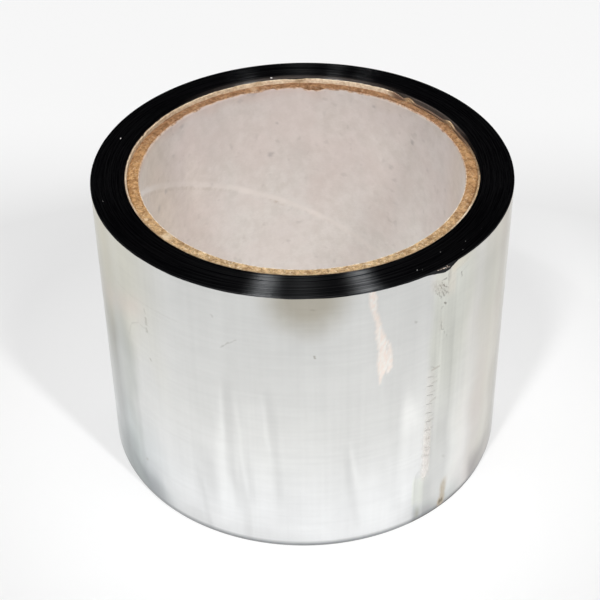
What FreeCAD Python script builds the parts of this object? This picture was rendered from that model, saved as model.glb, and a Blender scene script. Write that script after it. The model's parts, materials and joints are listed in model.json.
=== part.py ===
# Roll of foil tape: a strip of tape wound on a laminated paper core.
#
# Millimetres. The roll stands on end: +Z is its axis and the origin is the centre of its base.
# Azimuths are in degrees from +X towards +Y. Arc lengths run the same way along the roll's wall.
import FreeCAD, Part
import math
import os

# The paper core, from the bore outwards
BORE_RADIUS = 38.1
LINER_THICKNESS = 0.4
BOARD_THICKNESS = 2.65
FACING_THICKNESS = 0.45
CORE_TOP_RECESS = 0.9
CORE_BASE_RECESS = 0.4
FACING_TOP_RECESS = 0.1

# The wound tape
TAPE_WIDTH = 76.0
WINDING_BUILD = 8.15
LAST_TURN_STEP = 0.1

# The tape's free end on the outer wall: a serrated cut, straight above it and torn off at the lower corner
END_AZIMUTH = -54.0
TOOTH_PITCH = 2.75
TOOTH_DEPTH = 1.9
TOOTH_TIP_LENGTH = 1.5
TOOTH_COUNT = 11
SERRATION_BASE = 18.5
STRAIGHT_CUT_SETBACK = 1.1
TORN_CORNER_SETBACK = 4.4
TORN_CORNER_HEIGHT = 13.5

# The nick in the outer turns, at the top edge beside the free end
NICK_AZIMUTH = -51.5
NICK_LEFT = 6.5
NICK_RIGHT = 3.6
NICK_DROP = 1.5
NICK_BITE = 0.3

# The liner's helical butt seam, and the chip out of its top edge
SEAM_PITCH = 125.0
SEAM_BASE_AZIMUTH = -18.6
SEAM_WIDTH = 0.8
SEAM_DEPTH = 0.2
CHIP_AZIMUTH = 85.0
CHIP_LENGTH = 7.0
CHIP_DEPTH = 2.0

# The stretch where the facing's proud edge is broken away down to the board, less two scraps left standing
BREAK_START = -4.0
BREAK_END = 53.0
SCRAP_AZIMUTHS = (27.5, 48.0)
SCRAP_LENGTH = 2.2

# How far a cutting tool runs past the surface that it cuts
OVERRUN = 1.0

LINER_OUTER_RADIUS = BORE_RADIUS + LINER_THICKNESS
BOARD_OUTER_RADIUS = LINER_OUTER_RADIUS + BOARD_THICKNESS
CORE_RADIUS = BOARD_OUTER_RADIUS + FACING_THICKNESS
ROLL_RADIUS = CORE_RADIUS + WINDING_BUILD
CORE_TOP = TAPE_WIDTH - CORE_TOP_RECESS
FACING_TOP = TAPE_WIDTH - FACING_TOP_RECESS

UP = FreeCAD.Vector(0, 0, 1)


def radial(azimuth):
    """The unit vector that points outwards at an azimuth."""
    angle = math.radians(azimuth)
    return FreeCAD.Vector(math.cos(angle), math.sin(angle), 0)


def tube(inner_radius, outer_radius, base, top):
    """A plain tube on the roll's axis."""
    foot = FreeCAD.Vector(0, 0, base)
    outside = Part.makeCylinder(outer_radius, top - base, foot, UP)
    inside = Part.makeCylinder(inner_radius, top - base, foot, UP)
    return outside.cut(inside)


def wrapped_block(outline, azimuth, inner_radius, outer_radius):
    """The block between two radii whose outline, in arc length and height, is wrapped round the wall.

    Arc lengths are counted from the azimuth given, at the outer radius.
    """
    out = radial(azimuth)
    along = radial(azimuth + 90)
    corners = []
    for arc_length, height in outline:
        sideways = outer_radius * math.sin(arc_length / outer_radius)
        corners.append(along * sideways + UP * height)
    face = Part.Face(Part.makePolygon(corners + corners[:1]))
    prism = face.extrude(out * (outer_radius + OVERRUN))
    heights = [height for _, height in outline]
    return prism.common(tube(inner_radius, outer_radius, min(heights), max(heights)))


def spiral_outline():
    """The outer edge of the winding from above: the last turn, which grows by its step, and the step.

    Two half circles on centres a quarter of the step either side of the axis make the turn.
    """
    out = radial(END_AZIMUTH)
    side = radial(END_AZIMUTH + 90)
    quarter = LAST_TURN_STEP / 4
    under_end = out * (ROLL_RADIUS - LAST_TURN_STEP)
    half_way = out * -(ROLL_RADIUS - 2 * quarter)
    over_end = out * ROLL_RADIUS
    inner_half = Part.Arc(under_end, out * -quarter + side * (ROLL_RADIUS - 3 * quarter), half_way)
    outer_half = Part.Arc(half_way, out * quarter - side * (ROLL_RADIUS - quarter), over_end)
    step = Part.LineSegment(over_end, under_end)
    return Part.Wire([inner_half.toShape(), outer_half.toShape(), step.toShape()])


def free_end_cuts():
    """What the serrated cutter and the tear took off the last turn, as outlines in arc length and height.

    Arc length 0 is the free end's azimuth, which the teeth's tips reach.
    """
    gap = (TOOTH_PITCH - TOOTH_TIP_LENGTH) / 2
    torn_corner = [
        (0, -OVERRUN),
        (-TORN_CORNER_SETBACK, -OVERRUN),
        (-TORN_CORNER_SETBACK, TORN_CORNER_HEIGHT),
        (-TOOTH_DEPTH, SERRATION_BASE),
        (0, SERRATION_BASE + gap),
    ]
    serration_top = SERRATION_BASE + TOOTH_COUNT * TOOTH_PITCH
    straight_cut = [
        (0, serration_top - gap),
        (-STRAIGHT_CUT_SETBACK, serration_top),
        (-STRAIGHT_CUT_SETBACK, TAPE_WIDTH + OVERRUN),
        (0, TAPE_WIDTH + OVERRUN),
    ]
    cuts = [torn_corner, straight_cut]
    for tooth in range(1, TOOTH_COUNT):
        root = SERRATION_BASE + tooth * TOOTH_PITCH
        cuts.append([(0, root - gap), (-TOOTH_DEPTH, root), (0, root + gap)])
    return cuts


def make_winding():
    """All turns as one solid, with the free end and the nick cut into the outer ones."""
    section = Part.Face(spiral_outline())
    solid = section.extrude(UP * TAPE_WIDTH)
    solid = solid.cut(Part.makeCylinder(CORE_RADIUS, TAPE_WIDTH))
    reach = ROLL_RADIUS + OVERRUN
    under_last_turn = ROLL_RADIUS - LAST_TURN_STEP
    for outline in free_end_cuts():
        solid = solid.cut(wrapped_block(outline, END_AZIMUTH, under_last_turn, reach))
    nick = [
        (-NICK_LEFT, TAPE_WIDTH + OVERRUN),
        (-NICK_LEFT, TAPE_WIDTH),
        (0, TAPE_WIDTH - NICK_DROP),
        (NICK_RIGHT, TAPE_WIDTH),
        (NICK_RIGHT, TAPE_WIDTH + OVERRUN),
    ]
    return solid.cut(wrapped_block(nick, NICK_AZIMUTH, ROLL_RADIUS - NICK_BITE, reach))


def seam_groove():
    """The gap between neighbouring wraps of the liner, a square groove that climbs round the bore."""
    run = TAPE_WIDTH + 2 * SEAM_WIDTH
    helix = Part.makeHelix(SEAM_PITCH, run, BORE_RADIUS)
    half = SEAM_WIDTH / 2
    inner = BORE_RADIUS - OVERRUN
    outer = BORE_RADIUS + SEAM_DEPTH
    corners = [(inner, -half), (outer, -half), (outer, half), (inner, half), (inner, -half)]
    profile = Part.makePolygon([FreeCAD.Vector(radius, 0, height) for radius, height in corners])
    groove = Part.Wire(helix.Edges).makePipeShell([profile], True, True)
    groove.translate(FreeCAD.Vector(0, 0, -SEAM_WIDTH))
    groove.rotate(FreeCAD.Vector(0, 0, 0), UP, SEAM_BASE_AZIMUTH - 360 * SEAM_WIDTH / SEAM_PITCH)
    return groove


def make_liner():
    """The ply that lines the bore, with its seam and the chip out of its top edge."""
    solid = tube(BORE_RADIUS, LINER_OUTER_RADIUS, CORE_BASE_RECESS, CORE_TOP)
    solid = solid.cut(seam_groove())
    chip = [
        (-CHIP_LENGTH / 2, CORE_TOP + OVERRUN),
        (-CHIP_LENGTH / 2, CORE_TOP),
        (0, CORE_TOP - CHIP_DEPTH),
        (CHIP_LENGTH / 2, CORE_TOP),
        (CHIP_LENGTH / 2, CORE_TOP + OVERRUN),
    ]
    through = (BORE_RADIUS - OVERRUN, LINER_OUTER_RADIUS)
    return solid.cut(wrapped_block(chip, CHIP_AZIMUTH, *through))


def make_board():
    """The chipboard plies between the liner and the facing."""
    return tube(LINER_OUTER_RADIUS, BOARD_OUTER_RADIUS, CORE_BASE_RECESS, CORE_TOP)


def broken_stretch(start, end):
    """The edge that is missing between two azimuths, with ends that slope a little."""
    middle = (start + end) / 2
    reach = CORE_RADIUS * math.radians(end - start) / 2
    lip = FACING_TOP - CORE_TOP
    outline = [
        (-reach, FACING_TOP + OVERRUN),
        (-reach, FACING_TOP),
        (lip - reach, CORE_TOP),
        (reach - lip, CORE_TOP),
        (reach, FACING_TOP),
        (reach, FACING_TOP + OVERRUN),
    ]
    return wrapped_block(outline, middle, BOARD_OUTER_RADIUS - OVERRUN, CORE_RADIUS + OVERRUN)


def make_facing():
    """The outer ply, which stands proud of the board except where its edge is broken away."""
    solid = tube(BOARD_OUTER_RADIUS, CORE_RADIUS, CORE_BASE_RECESS, FACING_TOP)
    half_scrap = math.degrees(SCRAP_LENGTH / 2 / CORE_RADIUS)
    edges = [BREAK_START]
    for azimuth in SCRAP_AZIMUTHS:
        edges += [azimuth - half_scrap, azimuth + half_scrap]
    edges.append(BREAK_END)
    for start, end in zip(edges[::2], edges[1::2]):
        solid = solid.cut(broken_stretch(start, end))
    return solid


def main():
    nodes = {
        "tape_winding": make_winding(),
        "core_board": make_board(),
        "core_liner": make_liner(),
        "core_facing": make_facing(),
    }
    os.makedirs("parts", exist_ok=True)
    for name, shape in nodes.items():
        solids = shape.Solids
        print(name, "valid", shape.isValid(), "solids", len(solids), "volume", round(shape.Volume, 1))
        Part.makeCompound(solids).exportStep(f"parts/{name}.step")


main()
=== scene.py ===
import json
import math
import random

import bpy
import numpy as np
from mathutils import Matrix, Vector


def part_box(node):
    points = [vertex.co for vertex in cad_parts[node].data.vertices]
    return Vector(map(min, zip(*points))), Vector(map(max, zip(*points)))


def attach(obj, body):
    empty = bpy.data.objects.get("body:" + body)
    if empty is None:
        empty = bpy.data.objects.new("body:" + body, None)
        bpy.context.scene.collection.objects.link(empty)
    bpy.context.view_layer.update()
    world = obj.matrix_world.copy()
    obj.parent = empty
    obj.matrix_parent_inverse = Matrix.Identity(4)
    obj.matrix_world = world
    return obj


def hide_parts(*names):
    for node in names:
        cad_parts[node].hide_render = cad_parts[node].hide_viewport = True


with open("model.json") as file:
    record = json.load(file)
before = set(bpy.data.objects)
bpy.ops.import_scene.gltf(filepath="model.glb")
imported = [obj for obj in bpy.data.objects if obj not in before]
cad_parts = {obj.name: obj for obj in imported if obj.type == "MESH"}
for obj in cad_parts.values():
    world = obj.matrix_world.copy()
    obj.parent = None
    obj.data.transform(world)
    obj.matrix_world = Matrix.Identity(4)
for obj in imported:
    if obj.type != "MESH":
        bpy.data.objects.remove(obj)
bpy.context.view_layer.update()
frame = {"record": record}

# Lengths are in millimetres and azimuths in degrees from +X towards +Y, as in the part's source. Meshes are
# written in metres. Along the outer wall, "arc" is the length from the tape's free end, and it grows with the
# azimuth.
METRE = 0.001

# -------- sizes, from the frame

bore_mount = next(m for m in frame["record"]["mounts"] if m["name"] == "core_bore")
winding_low, winding_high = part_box("tape_winding")
board_low, board_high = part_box("core_board")
liner_low, liner_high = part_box("core_liner")
facing_low, facing_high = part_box("core_facing")

ROLL_TOP = winding_high.z / METRE
ROLL_RADIUS = (winding_high.x - winding_low.x) / 2 / METRE
BORE_RADIUS = bore_mount["dims"]["r_mm"]
LINER_RADIUS = (liner_high.x - liner_low.x) / 2 / METRE
BOARD_RADIUS = (board_high.x - board_low.x) / 2 / METRE
CORE_RADIUS = (facing_high.x - facing_low.x) / 2 / METRE
CORE_BASE = board_low.z / METRE
CORE_TOP = board_high.z / METRE
FACING_TOP = facing_high.z / METRE
WALL_LENGTH = 2 * math.pi * ROLL_RADIUS

# -------- sizes that the frame doesn't hold

LAST_TURN_STEP = 0.1
WALL_TOP_DROP = 0.35
BASE_BEVEL_HEIGHT = 0.65
BASE_BEVEL_DEPTH = 0.28
WOUND_EDGE_SLOPE = 0.17
OUTER_TURNS_DEPTH = 0.25
END_AZIMUTH = -54.0
TOOTH_PITCH = 2.75
TOOTH_DEPTH = 1.9
TOOTH_TIP_LENGTH = 1.5
TOOTH_COUNT = 11
SERRATION_BASE = 18.5
STRAIGHT_CUT_SETBACK = 1.1
TORN_CORNER_SETBACK = 4.4
TORN_CORNER_HEIGHT = 13.5
NICK_AZIMUTH = -51.5
NICK_LEFT = 6.5
NICK_RIGHT = 3.6
NICK_DROP = 1.4
SEAM_PITCH = 125.0
SEAM_BASE_AZIMUTH = -18.6
SEAM_WIDTH = 0.8
CHIP_AZIMUTH = 85.0
CHIP_LENGTH = 7.0
CHIP_DEPTH = 0.9

# Where the facing is broken away, then the azimuth and reach of the scraps that still stand in the gap, and
# the azimuth, reach and strength of the pale patches at the board's joints
BREAK_START = -4.0
BREAK_END = 53.0
SCRAPS = ((28.4, 4.8), (48.9, 3.2))
JOINTS = ((220.8, 2.6, 1.0), (108.0, 1.8, 0.45))

# How far the wall, the plies' ends and the first turn keep inside the frame's solids
WALL_SINK = 0.09
INSET = 0.05
HAIRLINE = 0.005

# How far the free end lies over the wall's first column, how much wall follows its outline either side, and
# how far its edge is tucked in
OVERLAP = 0.35
UNDER_REACH = 3
OVER_REACH = 6
TUCK = 0.03

# Worked out from the sizes above
TOOTH_GAP = (TOOTH_PITCH - TOOTH_TIP_LENGTH) / 2
TOOTH_ROOTS = [SERRATION_BASE + tooth * TOOTH_PITCH for tooth in range(TOOTH_COUNT)]
SERRATION_TOP = SERRATION_BASE + TOOTH_COUNT * TOOTH_PITCH
NICK_ARC = math.radians(NICK_AZIMUTH - END_AZIMUTH) * ROLL_RADIUS
INNER_TURNS_RADIUS = ROLL_RADIUS - LAST_TURN_STEP - OUTER_TURNS_DEPTH

# The floor's half width, how much of its colour is shown as written, and how bright the surround looks
FLOOR_REACH = 6000
FLOOR_SHOWN = 0.6
SURROUND_SHOWN = 0.93

# The view: degrees down and round its own axis, the lens, and its target and distance in units of VIEW_UNIT
VIEW_ELEVATION = 38.43
VIEW_ROLL = -0.79
VIEW_LENS = 89.12
VIEW_UNIT = 49.75
VIEW_TARGET = (-0.019, 0, 0.727)
VIEW_DISTANCE = 7.501

# The first fleck's random seed
SEED = 7


# -------- smooth noise and curves for the meshes


def ease(share):
    """An S-curve from 0 to 1."""
    return share * share * (3 - 2 * share)


def smooth(edge_0, edge_1, value):
    """0 below edge_0, 1 above edge_1 and an S-curve between, for numbers or arrays."""
    return ease(np.clip((np.asarray(value, float) - edge_0) / (edge_1 - edge_0), 0, 1))


def bump(centre, half_width, value):
    """A smooth hump of height 1 at the centre that ends half_width either side of it."""
    return ease(np.clip(1 - np.abs(np.asarray(value, float) - centre) / half_width, 0, 1))


def within(start, full, full_end, end, value):
    """0 outside start and end, 1 between full and full_end, with S-curves between."""
    return smooth(start, full, value) * smooth(end, full_end, value)


def hashed(values, seed):
    """A repeatable number from 0 to 1 for each whole number."""
    return np.modf(np.abs(np.sin(np.asarray(values, float) * 12.9898 + seed * 78.233) * 43758.5453))[0]


def noise_1d(position, seed):
    """Smooth noise from -1 to 1 along a line, with one wave to each unit."""
    cell = np.floor(position)
    low = hashed(cell, seed)
    high = hashed(cell + 1, seed)
    return 2 * (low + (high - low) * ease(position - cell)) - 1


def noise_2d(x, y, seed):
    """Smooth noise from -1 to 1 over a plane, with one wave to each unit."""
    row = np.floor(y)
    low = noise_1d(x + 57 * row, seed)
    high = noise_1d(x + 57 * (row + 1), seed)
    return low + (high - low) * ease(y - row)


def round_noise(azimuth, y, waves, seed):
    """Noise that closes round the roll: waves is about how many waves go round."""
    angle = np.radians(azimuth)
    reach = waves / (2 * math.pi)
    return noise_2d(reach * np.cos(angle) + 31.7, y + reach * np.sin(angle), seed)


# -------- mesh building


def add_object(name, data):
    """A new object in the scene."""
    made = bpy.data.objects.new(name, data)
    bpy.context.scene.collection.objects.link(made)
    return made


def new_piece(name, points, faces, materials, crease=180, face_materials=None, attributes=None):
    """A mesh piece from points in millimetres, smooth up to the crease angle, which rides on the roll."""
    mesh = bpy.data.meshes.new(name)
    mesh.from_pydata((np.asarray(points) * METRE).tolist(), [], faces)
    for material in materials:
        mesh.materials.append(material)
    if face_materials is not None:
        mesh.polygons.foreach_set("material_index", face_materials)
    mesh.polygons.foreach_set("use_smooth", [True] * len(mesh.polygons))
    for key, values in (attributes or {}).items():
        kind, field = ("FLOAT", "value") if values.ndim == 1 else ("FLOAT_VECTOR", "vector")
        mesh.attributes.new(key, kind, "POINT").data.foreach_set(field, values.astype(np.float32).ravel())
    mesh.update()
    if crease < 180:
        mesh.set_sharp_from_angle(angle=math.radians(crease))
    piece = add_object(name, mesh)
    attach(piece, "root")
    return piece


def loop_faces(sections, size):
    """Quads over closed sections of equal size, joined one to the next and the last to the first."""
    faces = []
    for section in range(sections):
        here = section * size
        there = (section + 1) % sections * size
        for point in range(size):
            after = (point + 1) % size
            faces.append((here + point, there + point, there + after, here + after))
    return faces


def around(radius, azimuth, height):
    """Points from arrays of radius, azimuth and height."""
    angle = np.radians(azimuth)
    return np.stack([radius * np.cos(angle), radius * np.sin(angle), height + 0 * angle], axis=-1)


def ring_piece(name, columns, profile, material, crease, attributes):
    """A closed ring of even columns. profile gives radius and height arrays, one row to each azimuth."""
    azimuths = np.linspace(0, 360, columns, endpoint=False)[:, None]
    radius, height, azimuths = np.broadcast_arrays(*profile(azimuths), azimuths)
    fields = {key: maker(radius, azimuths, height).reshape(radius.size, -1).squeeze()
              for key, maker in attributes.items()}
    points = around(radius, azimuths, height).reshape(-1, 3)
    return new_piece(name, points, loop_faces(*radius.shape), [material], crease, None, fields)


def plate_section(radii, top, base):
    """A ring's section from its top and base heights at each radius."""
    return np.concatenate([radii, radii[::-1]])[None, :], np.concatenate([top, base[:, ::-1]], axis=1)


# -------- node graphs


class Graph:
    """Short-hand for the node tree of a new material, or of a new world."""

    def __init__(self, name, owners=bpy.data.materials):
        self.owner = owners.new(name)
        self.owner.use_nodes = True
        self.tree = self.owner.node_tree
        self.tree.nodes.clear()

    def feed(self, socket, value):
        """Links a socket to an output, or sets it. A colour is given without its alpha."""
        if isinstance(value, bpy.types.NodeSocket):
            self.tree.links.new(value, socket)
        else:
            socket.default_value = (*value, 1) if socket.type == "RGBA" else value

    def node(self, kind, inputs=None, **settings):
        made = self.tree.nodes.new("ShaderNode" + kind)
        for key, value in settings.items():
            setattr(made, key, value)
        for key, value in (inputs or {}).items():
            self.feed(made.inputs[key], value)
        return made

    def math(self, operation, first, second=0, clamp=False):
        return self.node("Math", {0: first, 1: second}, operation=operation, use_clamp=clamp).outputs[0]

    def times(self, first, second, clamp=False):
        return self.math("MULTIPLY", first, second, clamp)

    def vector(self, operation, first, second=(0, 0, 0), output="Vector"):
        return self.node("VectorMath", {0: first, 1: second}, operation=operation).outputs[output]

    def scaled(self, vector, *scale):
        return self.vector("MULTIPLY", vector, scale)

    def parts(self, vector):
        return self.node("SeparateXYZ", {"Vector": vector}).outputs

    def ramp(self, value, low, high, to_low=0, to_high=1, curve="SMOOTHSTEP"):
        """The value's stretch from low to high, mapped to another stretch and held at its ends."""
        inputs = {"Value": value, "From Min": low, "From Max": high, "To Min": to_low, "To Max": to_high}
        return self.node("MapRange", inputs, interpolation_type=curve).outputs["Result"]

    def blend(self, share, first, second, mode="MIX"):
        inputs = {0: share, 6: first, 7: second}
        return self.node("Mix", inputs, data_type="RGBA", blend_type=mode).outputs[2]

    def coats(self, colour, *coats):
        """A colour with coats laid over it, each a share and a colour, and a mode unless it is mixed in."""
        for share, coat, *mode in coats:
            colour = self.blend(share, colour, coat, *mode)
        return colour

    def attribute(self, name, output="Fac"):
        return self.node("Attribute", attribute_name=name).outputs[output]

    def place(self):
        """Object coordinates in millimetres."""
        return self.scaled(self.node("TexCoord").outputs["Object"], *(1 / METRE,) * 3)

    def noise(self, vector, scale, detail=2, roughness=0.5, distortion=0, output="Fac"):
        inputs = {"Vector": vector, "Scale": scale, "Detail": detail, "Roughness": roughness,
                  "Distortion": distortion}
        return self.node("TexNoise", inputs).outputs[output]

    def strokes(self, spot, lines):
        """How strongly a flat point lies on the strongest of some short straight marks."""
        strongest = 0
        for x_1, y_1, x_2, y_2, half, strength in lines:
            reach = Vector((x_2 - x_1, y_2 - y_1, 0))
            offset = self.vector("SUBTRACT", spot, (x_1, y_1, 0))
            along = self.vector("DOT_PRODUCT", offset, reach, "Value")
            along = self.math("DIVIDE", along, reach.length_squared, clamp=True)
            nearest = self.node("VectorMath", {0: reach, "Scale": along}, operation="SCALE").outputs[0]
            apart = self.vector("DISTANCE", offset, nearest, "Value")
            share = self.ramp(apart, half * 1.5, half * 0.2, 0, strength)
            strongest = self.math("MAXIMUM", strongest, share)
        return strongest

    def relief(self, height, distance, strength=1, normal=None):
        """A bump from a height map whose full range stands the distance, in millimetres."""
        inputs = {"Height": height, "Distance": distance * METRE, "Strength": strength}
        if normal is not None:
            inputs["Normal"] = normal
        return self.node("Bump", inputs).outputs["Normal"]

    def surface(self, shader):
        """The finished material, which shows the shader."""
        self.node("OutputMaterial", {"Surface": shader.outputs[0]})
        return self.owner

    def principled(self, **sockets):
        inputs = {key.replace("_", " "): value for key, value in sockets.items()}
        return self.surface(self.node("BsdfPrincipled", inputs))


# -------- the last turn's wall


def cut_setback(height):
    """How far short of the teeth's tips the free end stops at each height."""
    stops = [(-1, TORN_CORNER_SETBACK - 0.3), (TORN_CORNER_HEIGHT, TORN_CORNER_SETBACK - 0.1),
             (SERRATION_BASE - 2.2, TORN_CORNER_SETBACK - 0.5), (SERRATION_BASE, TOOTH_DEPTH)]
    for root in TOOTH_ROOTS:
        tip = root + TOOTH_GAP
        stops += [(tip, 0), (tip + TOOTH_TIP_LENGTH, 0), (root + TOOTH_PITCH, TOOTH_DEPTH)]
    stops[-1:] = [(SERRATION_TOP, STRAIGHT_CUT_SETBACK), (ROLL_TOP + 1, STRAIGHT_CUT_SETBACK)]
    return np.interp(height, *zip(*stops))


def row_heights():
    """Heights of the wall's rows, with one at every corner of the teeth."""
    stretches = [(0, BASE_BEVEL_HEIGHT, 1), (BASE_BEVEL_HEIGHT, 1, 1), (1, TORN_CORNER_HEIGHT, 15),
                 (TORN_CORNER_HEIGHT, SERRATION_BASE, 8)]
    for root in TOOTH_ROOTS:
        tip = root + TOOTH_GAP
        tip_end = tip + TOOTH_TIP_LENGTH
        stretches += [(root, tip, 2), (tip, tip_end, 3), (tip_end, root + TOOTH_PITCH, 2)]
    stretches += [(SERRATION_TOP, ROLL_TOP - 3, 26), (ROLL_TOP - 3, ROLL_TOP, 10)]
    rows = [np.linspace(*stretch, endpoint=False) for stretch in stretches]
    return np.append(np.concatenate(rows), ROLL_TOP)


# Soft folds and bands down the film: arc and height of the top, then of the base, half width at the top and
# the base, relief, and how much their painted reflection brightens or darkens them
FOLDS = (
    (-49.3, 54, -49, 20, 1.15, 1.05, -0.03, -0.09), (-48.8, 27, -47.8, 13, 0.8, 0.5, -0.016, -0.06),
    (-50.9, 51, -50.7, 34, 0.5, 0.7, 0.012, 0.06), (-51.9, 42, -50.4, 10, 0.8, 2.3, 0.02, 0.06),
    (-47.5, 48, -45.6, 19, 0.45, 0.45, 0.01, 0.05), (-46.9, 27, -45.6, 2, 0.9, 1, -0.02, -0.08),
    (-45.7, 33, -43.9, 15, 0.9, 0.8, -0.014, -0.05), (-43.2, 48.5, -43.2, 41, 2.1, 2.1, 0.012, 0.04),
    (-41.6, 31, -41.2, 10, 1.6, 2.4, 0.014, 0.035), (-41.2, 51, -39.6, 29, 0.5, 0.5, 0.01, 0.05),
    (-39.9, 52, -37.4, 17, 1.2, 0.9, -0.028, -0.08), (-56.2, 29, -55.4, 21, 1.9, 2, -0.014, -0.05),
    (-54.8, 23, -54.2, 14, 1.5, 1.6, -0.014, -0.05), (-58.3, 22, -55.3, 0.5, 0.7, 0.7, -0.018, -0.07),
    (-57.5, 38, -54, 31, 3.5, 3.5, 0.01, 0.04), (-22.5, 34, -19.4, 7, 0.85, 0.85, -0.02, -0.06),
    (-21.6, 35, -19.5, 20, 0.5, 0.6, 0.012, 0.06), (-17.6, 27, -14.5, 7, 2.6, 3.6, 0.014, 0.04),
    (-10.9, 56, -9.8, 20, 2.6, 1, -0.014, -0.045), (-7.7, 47, -6.6, 35, 0.6, 2.2, 0.016, 0.06),
    (-5.7, 45, -5.5, 11, 2.6, 2.9, 0.022, 0.085), (-6, 18, -6.2, 1, 2.3, 2.2, 0.014, 0.05),
    (-65.5, 21, -62, 10, 3.6, 4.2, 0.012, 0.04), (-86.5, 52, -86, 14, 1.8, 1.5, -0.02, -0.06),
    (-91, 52, -89, 26, 3.2, 2.4, -0.02, -0.05), (-77.9, 40, -77.5, 8, 0.9, 0.9, -0.016, -0.06),
    (9.4, 60, 10.4, 4, 2.4, 3.2, 0.016, 0.04), (18, 44, 18.6, 2, 2, 2.6, -0.01, -0.02),
)


def fold_share(arc, height, outline, seed):
    """How fully each point lies in a fold, from 0 to 1."""
    arc_top, top, arc_base, base, half_top, half_base = outline
    share = (top - height) / (top - base)
    middle = arc_top + (arc_base - arc_top) * share + 0.22 * noise_1d(height / 6, seed)
    half = half_top + (half_base - half_top) * np.clip(share, 0, 1)
    edge = 0.35 + 0.45 * half
    across = smooth(half + edge, half - edge, np.abs(arc - middle))
    return across * smooth(-2, 9, top - height) * smooth(-6, 3, height - base)


def fold_fields(arc, height):
    """The folds' relief and the brightness of their painted reflections."""
    relief = np.zeros(np.broadcast(arc, height).shape)
    light = np.zeros(relief.shape)
    for seed, (*outline, stand, shine) in enumerate(FOLDS, 100):
        share = fold_share(arc, height, outline, seed)
        relief += 0.8 * stand * share
        light += (0.7 if shine < 0 else 1) * shine * share
    return relief, light


# The crinkle beside the free end, as two strands: height, arc of the middle and half width
CRINKLE = (
    ((76.2, -16.7, 0.75), (74.5, -16.6, 0.8), (72, -16.3, 0.62), (70.5, -16.1, 0.48), (68.5, -15.7, 0.5),
     (66.5, -15.2, 0.5), (64, -14.5, 0.6), (62, -13.9, 0.55), (60, -12.6, 0.38), (57.5, -12.1, 0.3),
     (55.5, -12.1, 0.5), (53.6, -12.2, 0.62), (52.3, -12.5, 0.35), (51.4, -12.7, 0)),
    ((66, -15.3, 0), (64.5, -15.2, 0.5), (62.5, -14.8, 0.8), (60.5, -14.3, 0.95), (58.5, -14, 1),
     (56.5, -13.8, 1.05), (55, -13.6, 1.2), (53.4, -13.8, 1), (52, -14.2, 0.55), (50.4, -14.4, 0.34),
     (49.2, -14.4, 0.2), (48.8, -14.4, 0)),
)


def crinkle_share(arc, height):
    """How fully each point lies on the crinkle, from 0 to 1."""
    total = np.zeros(np.broadcast(arc, height).shape)
    for seed, strand in enumerate(CRINKLE):
        heights, middles, halves = (np.array(column)[::-1] for column in zip(*strand))
        middle = np.interp(height, heights, middles) + 0.14 * noise_1d(height / 1.3, 201 + seed)
        half = np.interp(height, heights, halves, left=0, right=0)
        half = half * (1 + 0.3 * noise_1d(height / 0.9, 203 + seed))
        share = smooth(half + 0.35, half - 0.3, np.abs(arc - middle)) * smooth(0, 0.2, half)
        total = np.maximum(total, share)
    return total


# Fine marks on the film: arc and height of both ends, half width and strength
SCRATCHES = (
    (-50, 60, -48.2, 61.6, 0.2, 0.26), (-48.2, 61.6, -46.4, 62.9, 0.16, 0.2),
    (-71.2, 55.7, -74, 56.1, 0.16, 0.16), (-74, 56.1, -76.9, 53.9, 0.16, 0.17),
    (-76.9, 53.9, -78.6, 49.4, 0.14, 0.13), (-71.1, 61.4, -70.9, 60.4, 0.24, 0.18),
    (-70.9, 59, -70.8, 57.4, 0.42, 0.28), (-70.9, 56, -70.8, 55.2, 0.4, 0.3),
    (-84, 62.6, -61, 63.2, 0.14, 0.08), (-29.8, 72.7, -29.2, 72.7, 0.3, 0.2),
    (-70.6, 47.2, -70.3, 46.7, 0.28, 0.3), (-76.3, 11.2, -75.9, 11.6, 0.34, 0.35),
    (-29.3, 59.9, -29.1, 59.4, 0.24, 0.45), (-51.9, 68.4, -51.6, 68, 0.28, 0.18),
    (-6.2, 64.2, -5.8, 63.9, 0.24, 0.22), (4.6, 17.6, 5.3, 16.6, 0.3, 0.14),
    (3.2, 72.3, 9.5, 74.6, 0.16, 0.1), (2.7, 69.7, 9, 72.6, 0.16, 0.09), (2.7, 73.4, 2.8, 70.6, 0.16, 0.25),
)
SCUFFS = (
    (-2, 72, -1.7, 71.5, 0.16, 0.22), (-1.4, 70.9, -1.1, 70.4, 0.15, 0.28),
    (-1.4, 72.2, -1.1, 71.8, 0.13, 0.22), (-0.6, 71.2, -0.4, 70.7, 0.14, 0.35),
    (-1, 69.9, -0.7, 69.5, 0.16, 0.4), (-0.3, 69.8, 0, 69.2, 0.16, 0.5), (-0.3, 71.9, 0.1, 71.4, 0.18, 0.5),
    (0.3, 70.9, 0.8, 70.2, 0.18, 0.65), (0.3, 72.4, 0.8, 71.6, 0.16, 0.55),
    (0.7, 72.9, 1.8, 72.9, 0.24, 0.55), (0.9, 71.5, 1.4, 70.9, 0.22, 0.8),
    (1.5, 70.8, 1.9, 70.3, 0.2, 0.75), (0, 68.9, 0.5, 68.2, 0.17, 0.55), (0.6, 69.7, 1.1, 68.9, 0.17, 0.6),
    (1.3, 70, 1.7, 69.4, 0.18, 0.6), (1, 68.7, 1.3, 68.2, 0.15, 0.5), (1.8, 69.2, 2.2, 68.6, 0.18, 0.65),
    (2.3, 68.9, 2.7, 68.2, 0.17, 0.6), (2.3, 70.2, 2.6, 69.6, 0.13, 0.4), (6.5, 72.3, 6.7, 70.9, 0.18, 0.6),
    (1.5, 66.2, 2, 65.7, 0.2, 0.75), (0.8, 65.2, 1.3, 65.2, 0.18, 0.35), (1, 61, 1.1, 59.3, 0.15, 0.36),
    (1.2, 58.9, 1.7, 58.7, 0.18, 0.55), (1.9, 58, 2.1, 57.4, 0.14, 0.25), (2.8, 56.6, 3, 56, 0.14, 0.25),
)
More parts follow.
